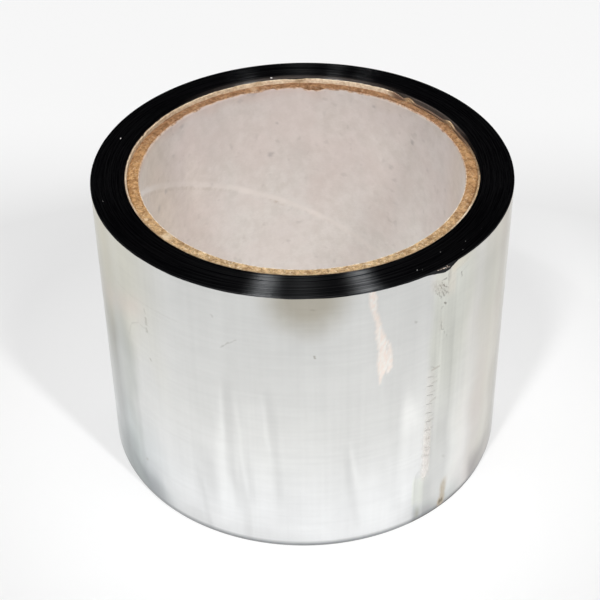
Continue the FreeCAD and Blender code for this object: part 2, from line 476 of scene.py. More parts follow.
TICKS = (
    (-1.7, 48, 0.4, 47.9, 0.3, 0.6), (-1.2, 45.3, -0.2, 45.2, 0.24, 0.16),
    (-1.4, 43.9, 0.1, 43.7, 0.24, 0.34), (-1.6, 41.2, -0.2, 40.9, 0.22, 0.26),
    (-1.4, 38.3, 0, 38.6, 0.28, 0.38), (-1.2, 33.8, -0.2, 33.6, 0.24, 0.16),
    (-1.5, 32.5, -0.1, 32.3, 0.26, 0.3), (-2.3, 33.2, -1.9, 31.8, 0.2, 0.22),
    (-1.6, 30, -0.1, 29.6, 0.26, 0.38), (-1.8, 27, -0.3, 26.7, 0.24, 0.34),
    (-2.4, 24.6, -1.8, 23.6, 0.2, 0.3), (-1.9, 23.2, -0.2, 23, 0.26, 0.3), (-2.3, 22, -1, 21.4, 0.24, 0.38),
    (-1.8, 18.7, -0.3, 18, 0.26, 0.38),
)


def azimuth_of(arc):
    """The azimuth at an arc along the wall."""
    return END_AZIMUTH + np.degrees(arc / ROLL_RADIUS)


def from_end(arc):
    """Arc from the free end, negative on the side where the last turn lies."""
    return (arc + WALL_LENGTH / 2) % WALL_LENGTH - WALL_LENGTH / 2


def wall_relief(arc, height):
    """How far the outer wall stands off a true cylinder, in millimetres."""
    azimuth = azimuth_of(arc)
    side = from_end(arc)
    broad = 0.018 * round_noise(azimuth, height / 60, 26, 3)
    fine = 0.005 * round_noise(azimuth, height / 34, 90, 5)
    rings = 0.003 * noise_1d(height / 1.7, 11) * (0.6 + 0.4 * round_noise(azimuth, height / 20, 14, 12))
    dent = 0.05 * np.exp(-((side + 29.4) ** 2 + (height - 71.3) ** 2) / 0.4)
    crinkle = 0.032 * crinkle_share(side, height) * (1 + 0.6 * noise_2d(side / 0.6, height / 0.8, 205))
    return broad + fine + rings + fold_fields(side, height)[0] + dent + crinkle


def wall_top(arc):
    """The top edge's height: a little uneven, and dipped at the nick beside the free end."""
    azimuth = azimuth_of(arc)
    uneven = 0.06 * round_noise(azimuth, 0, 70, 21) + 0.03 * round_noise(azimuth, 3, 300, 22)
    distance = from_end(arc) - NICK_ARC
    left = smooth(-NICK_LEFT, 0.3, distance) * (distance <= 0)
    right = smooth(NICK_RIGHT, -0.2, distance) * (distance > 0)
    jagged = 0.1 * noise_1d(arc / 0.5, 23) * smooth(NICK_LEFT, 1, np.abs(distance))
    return ROLL_TOP - WALL_TOP_DROP + uneven + jagged - NICK_DROP * (left + right)


def segment_share(arc, height, line):
    """How fully each point lies on a short straight mark, from 0 to 1."""
    arc_1, height_1, arc_2, height_2, half = line
    along = (arc - arc_1) * (arc_2 - arc_1) + (height - height_1) * (height_2 - height_1)
    along = np.clip(along / ((arc_2 - arc_1) ** 2 + (height_2 - height_1) ** 2), 0, 1)
    apart = np.hypot(arc - arc_1 - along * (arc_2 - arc_1), height - height_1 - along * (height_2 - height_1))
    return smooth(half * 1.6, half * 0.2, apart)


def tick_marks(arc, height):
    """How dark the ticks between the free end's teeth are at each point."""
    side = from_end(arc) - 0.25 - 0.75 * smooth(24, 44, height)
    ticks = np.zeros(side.shape)
    for *line, strength in TICKS:
        ticks = np.maximum(ticks, 0.85 * strength * segment_share(side, height + 0.25, line))
    return ticks


# Soft patches of the film, most of them painted reflections and painted shade: where they start and end along
# the arc and up the wall, each with its half softness, how much brighter or darker they are, and how far they
# shift red, green and blue, if they do. Heights of -9 and 99 are past the base and the top.
FILM_PATCHES = (
    (-106, 6, -78, 3, -9, 1, 50, 9, -0.14, -0.015, 0.008, -0.02),
    (-106, 6, -68.5, 6.5, -9, 1, 99, 1, -0.04), (-108, 6, -86.5, 4.5, -9, 1, 99, 1, -0.09),
    (-110, 6, -79, 3, 20, 5, 61, 5, -0.06), (-110, 6, -77, 3, 40, 3, 68, 4, -0.04),
    (-107, 5, -77, 6, -9, 1, 12, 5, -0.18, -0.02, 0, 0.01),
    (-107, 5, -68, 5, -9, 1, 6.5, 2.5, -0.16, -0.015, 0, 0.01),
    (-115, 8, -71, 9, 45, 11, 99, 1, 0, 0.01, -0.012, -0.11),
    (-115, 8, -86, 4, 40, 11, 99, 1, -0.02, 0.01, -0.02, -0.06),
    (-115, 8, -71, 11, -9, 1, 19, 9, 0, -0.035, 0, 0.01),
    (-115, 8, -86.5, 4, 42, 10, 99, 1, -0.05, 0, -0.005, -0.06),
    (-115, 8, -92.5, 2.5, 27, 6, 99, 1, -0.08, 0, 0, -0.06),
    (-98, 3, -82, 4, 7, 2, 24, 6, -0.06, 0, 0, 0.015), (-110, 6, -82, 2.5, -9, 1, 5.5, 1.5, 0.12),
    (-78, 2.5, -70, 3, -9, 1, 10, 3, -0.07, 0, 0, 0.01), (-74, 3, -64, 4, 12, 4, 30, 6, 0.03),
    (24.5, 2.5, 37, 6, -9, 1, 99, 1, -0.06), (16, 1.5, 42, 9, -9, 1, 7.5, 3, -0.18, 0, 0, 0.02),
    (8, 2, 44, 10, -9, 1, 99, 1, -0.05), (15, 3, 44, 10, -9, 1, 99, 1, -0.08, 0.01, -0.02, -0.06),
    (10, 4, 44, 10, -9, 1, 99, 1, 0, 0.012, -0.012, -0.03),
    (20, 2.5, 42, 9, -9, 1, 99, 1, -0.03, 0, -0.004, -0.04),
    (28.5, 2, 35, 4, -9, 1, 99, 1, -0.06, 0, 0, -0.03), (18, 2.5, 42, 9, -9, 1, 5.5, 2, -0.08),
    (25.5, 2.5, 37, 6, -9, 1, 99, 1, -0.08, 0.02, -0.02, -0.06), (25.5, 1.5, 37, 6, -9, 1, 28, 12, -0.06),
    (13, 2, 27, 3, 70.5, 3.5, 99, 1, 0.05), (8.5, 2, 13, 2, 9, 3, 28, 8, 0.05),
    (6, 1, 11, 4, -9, 1, 6, 3, -0.12, -0.02, 0, 0.01), (-54, 4, -6.5, 2.5, -9, 1, 30, 13, 0.045),
    (-64, 6, -12, 4, 52, 8, 72, 3, 0.025), (-200, 1, 200, 1, -9, 1, 3.5, 2.5, -0.07),
    (-200, 1, 200, 1, 70.5, 4.5, 99, 1, 0.03), (-81, 7, -67, 7, -9, 1, 25, 9, -0.05),
    (-8.5, 1.5, -2.5, 2.5, -9, 1, 25, 9, -0.04), (-1.4, 0.5, 6.6, 1.2, 36, 6, 66, 4, -0.055),
    (-1.5, 0.5, 0.7, 0.4, 20, 6, 52, 4, -0.055), (-1.4, 0.4, 6.5, 1.5, -9, 1, 34, 6, -0.11),
    (2, 0.3, 5.6, 0.8, 24, 6, 60, 6, -0.035), (4.6, 0.6, 9.5, 2.5, 34, 5, 60, 5, -0.05),
    (-2.8, 1.2, 200, 1, 68, 2, 99, 1, 0.02),
    (-2.6, 0.8, 2.4, 0.8, 70, 1.5, 99, 1, 0.04, 0.01, -0.008, -0.02),
    (2.6, 0.5, 5, 0.7, 68, 2, 75, 1, 0.02, 0.03, -0.01, -0.03), (-5, 1, 2, 1.5, -9, 1, 12.5, 2.5, -0.05),
    (-4.4, 0.5, 4, 3, -9, 1, 4.5, 2.5, -0.1, -0.01, 0, 0.01),
    (3.5, 1, 9, 3, 73.8, 1, 99, 1, 0, 0.04, -0.005, -0.05), (2.6, 0.3, 3.4, 0.3, 71.5, 0.6, 99, 1, -0.1),
    (-1.5, 1.5, 12, 3, 44, 12, 99, 1, 0, -0.005, 0.002, -0.055),
    (-1.5, 1.5, 12, 3, -9, 1, 44, 12, 0, 0, 0, -0.022),
    (-4.6, 0.4, -1, 1, 5, 2, 14.5, 1.5, 0, -0.01, 0.005, -0.05),
    (-3.4, 0.4, -2.2, 0.5, 0.5, 1, 4, 1.5, -0.12, 0, 0, -0.1),
)


def soft_patches(table, across, height, colour):
    """How much brighter a table's patches make each point, and the colour after their shifts."""
    gain = np.zeros(across.shape)
    weave = 0.35 * noise_1d(height / 9, 231)
    waver = 0.7 * noise_1d(across / 6, 232)
    for left, left_soft, right, right_soft, base, base_soft, top, top_soft, light, *shift in table:
        share = 1
        for soft, depth in ((left_soft, across - left + weave * min(left_soft, 3)),
                            (right_soft, right - across - weave * min(right_soft, 3)),
                            (base_soft, height - base + waver * base_soft),
                            (top_soft, top - height - waver * top_soft)):
            share = share * smooth(-soft, soft, depth)
        gain = gain + light * share
        colour = colour + share[..., None] * (shift or 0)
    return gain, colour


def film_look(arc, height, under):
    """The film's linear colour at each point, with painted reflections and shade, and the folds left off what
    lies under the last turn.
    """
    side = from_end(arc)
    azimuth = azimuth_of(arc)
    tint = np.ones(side.shape + (3,)) * (1, 1.004, 0.983)
    tint = tint + smooth(40, 8, height)[..., None] * (-0.008, -0.002, 0.022)
    light, tint = soft_patches(FILM_PATCHES, side, height, tint)
    light += 0.74 + fold_fields(side, height)[1] * ~under
    light += 0.018 * round_noise(azimuth, height / 26, 34, 211)
    light += 0.01 * round_noise(azimuth, height / 40, 110, 212)
    streaks = 0.022 * noise_1d(side / 0.55, 223) * within(-4, -2, 6, 12, side)
    light += streaks * within(24, 44, 69, 74, height)
    light += 0.05 * bump(1.6, 0.8, side) * within(36, 46, 66, 69, height)
    pink = within(11, 18, 34, 44, side) * noise_2d(side / 9, height / 12, 215)
    flush = bump(61 + 0.4 * (side + 72), 6, height) * within(-112, -104, -76, -69, side)
    tint = tint + pink[..., None] * (0.025, -0.012, 0) + flush[..., None] * (0.035, -0.02, -0.01)
    colour = np.clip(1.025 * light, 0.3, 0.95)[..., None] * tint

    # A painted reflection: a soft olive-grey patch high on the front of the wall
    weft = noise_2d(side / 1.6, height / 1.6, 216)
    painted_olive_reflection = smooth(1.55, 0.45, np.hypot((side + 30.8) / 8.2, (76.5 - height) / 9.5 + 0.05 * weft))[..., None]
    colour = colour * (1 - painted_olive_reflection * (0.32, 0.36, 0.44))
    # Painted shade: a dark grey line along the base
    shade = smooth(1.9, 0.3, height)[..., None]
    colour = colour * (1 - shade) + shade * (0.22, 0.232, 0.24)
    # The crinkle's painted highlight: pinkish white, whiter at its core
    crinkle = crinkle_share(side, height)[..., None]
    core = noise_2d(side / 0.45, height / 0.8, 217)[..., None]
    highlight_strength = np.clip(crinkle ** 2 * (0.45 + 0.9 * core), 0, 1)
    painted_crinkle_highlight = np.array((1, 0.88, 0.8)) * (1 - highlight_strength) + np.array((1, 0.97, 0.92)) * highlight_strength
    return colour * (1 - crinkle) + painted_crinkle_highlight * crinkle


def film_marks(arc, height):
    """Three shares for the film's shader: rubbed scuffs, pale grime at the teeth and the brown stain."""
    side = from_end(arc)
    nick = np.hypot((side - 0.5 - (70.4 - height) * 0.75) / 2.3, (height - 70.4) / 3.6)
    lower = np.hypot((side - 1.3) / 1.4, (height - 60) / 3)
    scuffs = smooth(1.1, 0.4, nick) + 0.5 * smooth(1, 0.3, lower)
    grime = within(-2.7, -1.7, -0.3, 0.5, side) * within(12, 17, 46, 49.5, height)
    grime = grime * (0.35 + 0.65 * smooth(34, 26, height))
    tongue = np.hypot(side + 1.6 - (16 - height) * 0.1, (height - 15.6) / 3)
    grime = np.maximum(grime, smooth(1.1, 0.5, tongue))
    lean = side - 5 - 0.12 * (height - 2) + 0.35 * noise_2d(side / 0.9, height / 2.2, 221)
    brown = 0.55 * smooth(1.9, 0.3, np.abs(lean)) * smooth(11, 7, height)
    brown = brown + 0.5 * smooth(1.1, 0.2, np.hypot((side - 4.8) / 1.3, (height - 2) / 1.5))
    return np.stack([np.clip(scuffs, 0, 1), grime, np.clip(brown, 0, 1)], axis=-1)


def end_lift(from_edge, height):
    """How far the last millimetres of the free end curl off the turn below."""
    tooth = np.floor((height - SERRATION_BASE) / TOOTH_PITCH)
    return 0.03 * hashed(tooth, 31) * np.clip(1 - from_edge / 2.2, 0, 1) ** 2


def wall_columns(rows):
    """The wall's columns as arcs, from just under the free end, round the roll, to the free end's edge."""
    setback = cut_setback(rows)
    start = -setback - OVERLAP
    under = [start + (UNDER_REACH - start) * share for share in np.linspace(0, 1, 14)]

    # Each span of upright columns, from, to and how many, closest together across the front
    front = WALL_LENGTH - 108
    spans = ((UNDER_REACH, 12, 28), (12, 44, 56), (44, front, 134), (front, WALL_LENGTH - 18, 232),
             (WALL_LENGTH - 18, WALL_LENGTH - OVER_REACH, 34))
    arcs = np.concatenate([np.linspace(*span, endpoint=False) for span in spans])
    upright = [np.full(rows.shape, arc) for arc in arcs[1:]]
    over = [WALL_LENGTH - OVER_REACH * (1 - share) - setback * share for share in np.linspace(0, 1, 22)]
    return np.array(under + upright + over), setback


def make_outer_turns(materials):
    """The outermost turns as one closed band, whose last turn ends in the serrated free edge."""
    rows = row_heights()
    columns, setback = wall_columns(rows)
    height = rows[None, :] + 0 * columns
    radius = ROLL_RADIUS - LAST_TURN_STEP * (1 - columns / WALL_LENGTH) - WALL_SINK
    radius += wall_relief(columns, height)
    from_edge = np.maximum(WALL_LENGTH - setback[None, :] - columns, 0)
    pressed = end_lift(from_edge, height) - 0.035 * smooth(2, 0.3, from_edge)
    radius += np.where(columns > WALL_LENGTH / 2, pressed, 0)
    near_top = smooth(ROLL_TOP - 7, ROLL_TOP - 2, rows)[None, :]
    height = height * (1 - near_top) + height / ROLL_TOP * wall_top(columns) * near_top
    radius[:, 0] -= BASE_BEVEL_DEPTH
    colour = film_look(columns, height, columns < UNDER_REACH + 0.2)
    marks = film_marks(columns, height)
    ticks = tick_marks(columns, height)

    # The last column is repeated, and both are tucked in under the free edge; the last is painted a little
    # darker, as shade
    columns, radius, height, colour, marks, ticks = (
        np.concatenate([field, field[-1:]]) for field in (columns, radius, height, colour, marks, ticks))
    columns[-1] -= 0.02
    radius[-2] -= TUCK
    radius[-1] -= 2 * TUCK
    colour[-1] *= 0.88

    count = len(columns)
    inner_arc = np.minimum(columns[:, -1], WALL_LENGTH + columns[0, -1] - 0.02)
    inner_azimuth = azimuth_of(inner_arc)
    nick = bump(NICK_ARC, 3, from_end(inner_arc))
    outer = around(radius, azimuth_of(columns), height)
    top = around(INNER_TURNS_RADIUS, inner_azimuth, ROLL_TOP - INSET - 0.35 * nick)
    base = around(INNER_TURNS_RADIUS, inner_azimuth, 0)
    points = np.concatenate([outer, top[:, None], base[:, None]], axis=1)
    size = points.shape[1]

    # The wall's faces are film, and those of the top, inside and base are black
    slots = [int(index % size >= len(rows) - 1) for index in range(count * size)]

    def padded(values, fill):
        ends = np.full((count, 2) + values.shape[2:], fill)
        return np.concatenate([values, ends], axis=1).reshape((-1,) + values.shape[2:])

    place = np.stack([columns, height, from_end(columns)], axis=-1)
    fields = {"wall": padded(place, 0), "film": padded(colour, 0.7), "marks": padded(marks, 0),
              "ticks": padded(ticks, 0)}
    points = points.reshape(-1, 3)
    piece = new_piece("tape_outer_turns", points, loop_faces(count, size), materials, 35, slots, fields)
    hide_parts("tape_winding")


# -------- the wound end faces


def make_inner_turns(material):
    """The rest of the winding, whose ends show the edges of its turns as fine spiral ridges."""
    ridge = 0.115
    inner = CORE_RADIUS + HAIRLINE
    radii = np.linspace(inner, INNER_TURNS_RADIUS, int((INNER_TURNS_RADIUS - inner) / ridge))

    def profile(azimuth):
        turn = (radii - inner) / (2 * ridge) + azimuth / 360
        weave = 0.012 * noise_1d(turn * 2, 41) + 0.022 * noise_1d(turn * 0.45, 43)
        weave += 0.006 * round_noise(azimuth, radii * 3, 40, 44)
        top = ROLL_TOP - INSET + weave - 0.12 * smooth(0.25, 0, radii - inner)
        return plate_section(radii, top, np.maximum(INSET - weave, 0))

    # Grey paint on the turns' inner edge: dust towards the back, and a painted grey sheen where the facing is
    # broken away
    def dust_and_sheen_share(radius, azimuth, height):
        reach = 1 + 0.35 * round_noise(azimuth, 0, 30, 45)
        broken = 2 * bump(36, 25, azimuth) * smooth(0.35, 0, radius - inner)
        behind = 0.6 * within(50, 66, 104, 140, azimuth) * smooth(1.8, 0.2, radius - inner)
        return broken + behind * reach * (0.35 + 0.65 * smooth(0, 0.2, radius - inner))

    piece = ring_piece("tape_wound_turns", 480, profile, material, 60, {"dust": dust_and_sheen_share})
    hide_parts("tape_winding")


# -------- the core's three layers


def front_first(azimuth):
    """The azimuth turned to lie between -90 and 270."""
    return (azimuth + 90) % 360 - 90


def gap_share(azimuth):
    """How fully the facing is broken away at each azimuth, leaving a gap between its scraps that is painted
    dark as shade.
    """
    gone = within(BREAK_START + 8, BREAK_START + 24, BREAK_END + 1, BREAK_END + 5, front_first(azimuth))
    for middle, reach in SCRAPS:
        gone = gone * (1 - bump(middle, reach, azimuth))
    return gone


def make_board(material):
    """The brown board, whose cut ends are torn fibre."""
    radii = np.linspace(LINER_RADIUS, BOARD_RADIUS, 15)

    def end(azimuth, seed):
        coarse = 0.09 * round_noise(azimuth, radii * 1.8, 330, seed)
        return coarse + 0.05 * round_noise(azimuth, radii * 0.9, 120, seed + 1) - 0.12

    def profile(azimuth):
        top = CORE_TOP + end(azimuth, 61)
        top -= 0.3 * smooth(BOARD_RADIUS - 0.9, BOARD_RADIUS, radii)
        top -= 0.06 * smooth(LINER_RADIUS + 0.7, LINER_RADIUS, radii)
        top -= 0.45 * gap_share(azimuth) * smooth(BOARD_RADIUS - 1, BOARD_RADIUS - 0.3, radii)
        return plate_section(radii, top, CORE_BASE - end(azimuth, 71))

    def joint_share(radius, azimuth, height):
        wavy = azimuth + 0.6 * noise_1d(radius * 1.4, 63)
        return np.clip(sum(strength * bump(middle, reach, wavy) for middle, reach, strength in JOINTS), 0, 1)

    # Painted shade: the board's outer edge is darkened in the gap where the facing is broken away
    def gap_painted_shade(radius, azimuth, height):
        edge = BOARD_RADIUS - 0.95 + 0.25 * round_noise(azimuth, 0, 60, 65)
        return 0.35 * gap_share(azimuth) * smooth(edge, edge + 0.9, radius)

    fields = {"joint": joint_share, "gap": gap_painted_shade}
    piece = ring_piece("core_board_tube", 900, profile, material, 60, fields)
    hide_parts("core_board")


def seam_offset(azimuth, height):
    """How far a point on the bore is from the seam, along the roll's axis."""
    climb = (azimuth - SEAM_BASE_AZIMUTH) / 360 * SEAM_PITCH
    return (height - climb + SEAM_PITCH / 2) % SEAM_PITCH - SEAM_PITCH / 2


# Specks in the bore's paper: azimuth, height, half size along the bore and strength
LINER_SPECKS = (
    (43, 65.8, 0.75, 0.75), (61, 72, 0.55, 0.5), (53, 55.5, 0.8, 0.35), (102.5, 55.5, 1, 0.55),
    (99.5, 64.8, 0.45, 0.55), (153.8, 58.1, 0.9, 0.45), (141, 72.6, 0.8, 0.4), (160, 55.5, 1.2, 0.3),
    (128, 51, 0.55, 0.3), (88.5, 36, 0.5, 0.3), (95.9, 26.8, 0.6, 0.25), (106, 33.6, 0.55, 0.25),
    (34, 60.5, 0.8, 0.25), (84, 58, 0.6, 0.2), (114, 73.3, 0.9, 0.3), (109, 75, 1.6, 0.35),
    (37, 68, 0.6, 0.25), (147, 66, 0.7, 0.3), (50, 45, 0.9, 0.15), (120, 62, 0.5, 0.2),
)

# Soft patches of the bore's paper, most of them painted light and shade that even out the lamps' shading and
# darken the paper under its rim, as for the film but with the azimuth in place of the arc
BORE_PATCHES = (
    (131, 9, 160, 9, -9, 1, 58, 8, 0.1, 0.015, 0, -0.02),
    (131, 9, 150, 8, 58, 8, 71, 3, 0.03, 0.02, 0, -0.005),
    (153, 13, 212, 6, -9, 1, 99, 1, 0.02, 0.035, -0.01, -0.09),
    (-28, 6, 17, 8, -9, 1, 99, 1, -0.05, 0.02, -0.04, -0.11),
    (30, 8, 125, 8, -9, 1, 44, 14, 0.03, -0.012, 0.02, 0.028),
    (33, 8, 62, 5, 26, 3, 68, 4, 0.07, 0, 0.01, 0.01), (56, 5, 76, 5, -9, 1, 31, 6, 0.08),
    (60, 8, 122, 8, 57, 5, 70, 4, 0.035), (98, 5, 128, 6, 34, 5, 58, 5, 0.03, 0, 0.01, 0.01),
    (80, 6, 195, 8, 73, 1.6, 99, 1, -0.07, 0.03, -0.03, -0.055),
    (-5, 6, 62, 6, 73, 1.6, 99, 1, -0.03, 0, -0.02, -0.05),
)


def make_liner(material):
    """The grey-white ply in the bore, with its helical seam and the chip out of its top edge."""
    rim = CORE_TOP - 3
    heights = np.concatenate([np.linspace(CORE_BASE, rim, 112), np.linspace(rim, CORE_TOP, 14)[1:]])
    lean = math.cos(math.atan(SEAM_PITCH / (2 * math.pi * BORE_RADIUS)))

    def profile(azimuth):
        along = np.radians((azimuth - CHIP_AZIMUTH + 180) % 360 - 180) * BORE_RADIUS
        chip = CHIP_DEPTH * smooth(0.5, 0.15, np.abs(along) / CHIP_LENGTH)
        chip = chip * (1 + 0.12 * noise_1d(along / 0.6, 83))
        ragged = 0.15 + 0.07 * round_noise(azimuth, 0, 200, 81) + 0.04 * round_noise(azimuth, 5, 420, 82)
        top = CORE_TOP - chip - ragged
        base = CORE_BASE + INSET
        height = base + (heights - CORE_BASE) / (CORE_TOP - CORE_BASE) * (top - base)
        apart = seam_offset(azimuth, height) * lean
        groove = 0.05 * bump(-0.75, 0.45, apart) - 0.03 * bump(0.2, SEAM_WIDTH, apart)
        wave = 0.03 * round_noise(azimuth, height / 16, 15, 84)
        wave = wave + 0.012 * round_noise(azimuth, height / 3, 80, 85)
        inner = BORE_RADIUS + 0.08 + groove + wave + 0.2 * smooth(0.45, 0, top - height)
        radius = np.concatenate([inner, np.full((len(azimuth), 2), LINER_RADIUS)], axis=1)
        height = np.concatenate([height, top, base + 0 * top], axis=1)
        return radius, height

    def bore_place(radius, azimuth, height):
        along = np.radians(azimuth) * BORE_RADIUS
        return np.stack([along, height, seam_offset(azimuth, height) * lean], axis=-1)

    def bore_marks(radius, azimuth, height):
        reach = 0.25 + 0.5 * smooth(20, -20, np.sin(np.radians(azimuth)) * 50)
        below = height.max(axis=1, keepdims=True) - height
        fray = smooth(reach, 0.05, below + 0.25 * round_noise(azimuth, 1, 260, 87))
        specks = np.zeros(radius.shape)
        for middle, level, half, strength in LINER_SPECKS:
            across = np.radians(azimuth - middle) * BORE_RADIUS
            apart = np.hypot(across, (height - level) * 1.2)
            apart = apart * (1 + 0.3 * noise_2d(across / 0.6, height / 0.6, 88))
            specks = np.maximum(specks, strength * smooth(half * 1.25, half * 0.3, apart))
        dots = bump(100.5, 5, azimuth) + 0.45 * within(112, 135, 180, 200, azimuth)
        return np.stack([fray, specks, np.clip(dots, 0, 1)], axis=-1)

    # The bore's painted light and shade, with their tints, from BORE_PATCHES
    def bore_painted_light(radius, azimuth, height):
        white = np.ones(radius.shape + (3,))
        gain, tint = soft_patches(BORE_PATCHES, front_first(azimuth), height, white)
        return (1 + gain[..., None]) * tint

    fields = {"bore": bore_place, "bore_marks": bore_marks, "bore_painted_light": bore_painted_light}
    piece = ring_piece("core_liner_ply", 620, profile, material, 50, fields)
    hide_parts("core_liner")


def make_facing(material):
    """The thin cream ply outside the board, standing proud except where its edge is broken away."""
    middle = (BOARD_RADIUS + CORE_RADIUS) / 2

    def gone_share(azimuth):
        break_ends = (BREAK_START - 3, BREAK_START + 4, BREAK_END - 2.5, BREAK_END + 2.5)
        gone = within(*break_ends, front_first(azimuth))
        for scrap, reach in SCRAPS:
            gone = gone * (1 - 0.85 * bump(scrap, reach, azimuth))
        return gone

    def profile(azimuth):
        ragged = 0.07 * round_noise(azimuth, 0, 260, 91) + 0.04 * round_noise(azimuth, 7, 420, 93)
        notch = 0.35 * bump(158, 1.3, azimuth) + 0.25 * bump(92, 5, azimuth)
        top = FACING_TOP - 0.11 + ragged - notch - gone_share(azimuth) * (FACING_TOP - CORE_TOP + 0.25)
        base = CORE_BASE + INSET + 0.03 * round_noise(azimuth, 4, 200, 92)
        radius = np.array([[BOARD_RADIUS, BOARD_RADIUS, middle, CORE_RADIUS, CORE_RADIUS]])
        return radius, np.concatenate([base, top - INSET, top, top - INSET, base], axis=1)

    def cream_share(radius, azimuth, height):
        cream = within(52, 60, 196, 212, azimuth) * (0.9 - 0.3 * smooth(98, 120, azimuth))
        cream = cream * (1 - 0.7 * bump(90, 5.5, azimuth)) * (1 - 0.7 * bump(105.3, 3.6, azimuth))
        cream = np.maximum(cream, 0.8 * bump(331, 13, azimuth))
        return cream * (0.85 + 0.15 * round_noise(azimuth, 0, 40, 94))

    # Painted shade: dark where the facing is broken away, and along the outer half of its top at parts of the
    # roll
    def gap_painted_shade(radius, azimuth, height):
        rim = 0.45 * smooth(52, 60, azimuth) + 0.45 * smooth(138, 152, azimuth)
        rim = rim * smooth(305, 290, azimuth) + 0.5 * smooth(340, 348, azimuth)
        rim = rim + 0.15 * within(112, 124, 186, 196, azimuth) + 0.3 * bump(256, 20, azimuth)
        return np.clip(gap_share(azimuth) + rim * smooth(middle, CORE_RADIUS, radius), 0, 1)

    fields = {"cream": cream_share, "gap": gap_painted_shade}
    piece = ring_piece("core_facing_ply", 900, profile, material, 60, fields)
    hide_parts("core_facing")


# -------- dust and torn bits


def make_fleck(azimuth, radius, height, size, seed):
    """Points and faces of a dented and squashed ball, with its size as length, width and thickness."""
    flow = random.Random(seed)
    rings, turns = 4, 9
    points = [(0, 0, 0.5)]
    for ring in range(1, rings):
        rise = math.pi * ring / rings
        for turn in range(turns):
            angle = 2 * math.pi * turn / turns
            reach = 0.5 * math.sin(rise) * flow.uniform(0.65, 1.25)
            lift = 0.5 * math.cos(rise) * flow.uniform(0.7, 1.2)
            points.append((reach * math.cos(angle), reach * math.sin(angle), lift))
    points.append((0, 0, -0.5))
    last = 1 + (rings - 2) * turns
    faces = []
    for turn in range(turns):
        after = (turn + 1) % turns
        faces.append((0, 1 + turn, 1 + after))
        for low in range(1, last, turns):
            faces.append((low + turn, low + turns + turn, low + turns + after, low + after))
        faces.append((last + turn, len(points) - 1, last + after))
    angle = math.radians(azimuth)
    out = np.array((math.cos(angle), math.sin(angle), 0))
    axes = np.array(((-out[1], out[0], 0), out, (0, 0, 1)))
    return np.array(points) * size @ axes + out * radius + (0, 0, height), faces


# Torn bits and dust on the black edge: azimuth, radius, height below the top, length, width, thickness
FLECKS = (
    (-53.6, 49.4, 0.25, 1.1, 0.35, 0.3), (-52.6, 49.35, 0.4, 0.8, 0.4, 0.35),
    (-51.7, 49.42, 0.2, 0.75, 0.4, 0.75), (-54.6, 49.45, 0.22, 0.6, 0.25, 0.18),
    (-50.9, 49.4, 0.6, 0.6, 0.3, 0.4), (-51.9, 49.3, 0.3, 0.45, 0.35, 0.22),
)
SPECKS = (
    (-59.2, 47.1, 0, 0.3, 0.28, 0.1), (162.6, 45.9, 0, 0.7, 0.3, 0.12), (100.2, 42.45, 0, 1.05, 0.9, 0.2),
    (-40.5, 46.6, 0, 0.18, 0.14, 0.09), (-58, 47.6, 0, 0.16, 0.12, 0.09), (-33, 47, 0, 0.14, 0.12, 0.09),
    (196, 47.3, 0, 0.16, 0.12, 0.09), (-49, 45.2, 0, 0.2, 0.14, 0.09), (-44, 48, 0, 0.18, 0.14, 0.09),
    (-52, 49.42, 0.4, 0.4, 0.25, 0.35),
)


def make_flecks(name, table, material):
    """A table's flecks as one piece on the black edge."""
    points, faces = [], []
    for seed, (azimuth, radius, drop, *size) in enumerate(table, SEED):
        own, own_faces = make_fleck(azimuth, radius, ROLL_TOP - drop - size[2] / 2, size, seed)
        start = len(points)
        points.extend(own.tolist())
        faces.extend(tuple(start + corner for corner in face) for face in own_faces)
    piece = new_piece(name, points, faces, [material])
    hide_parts("tape_winding")


# -------- materials


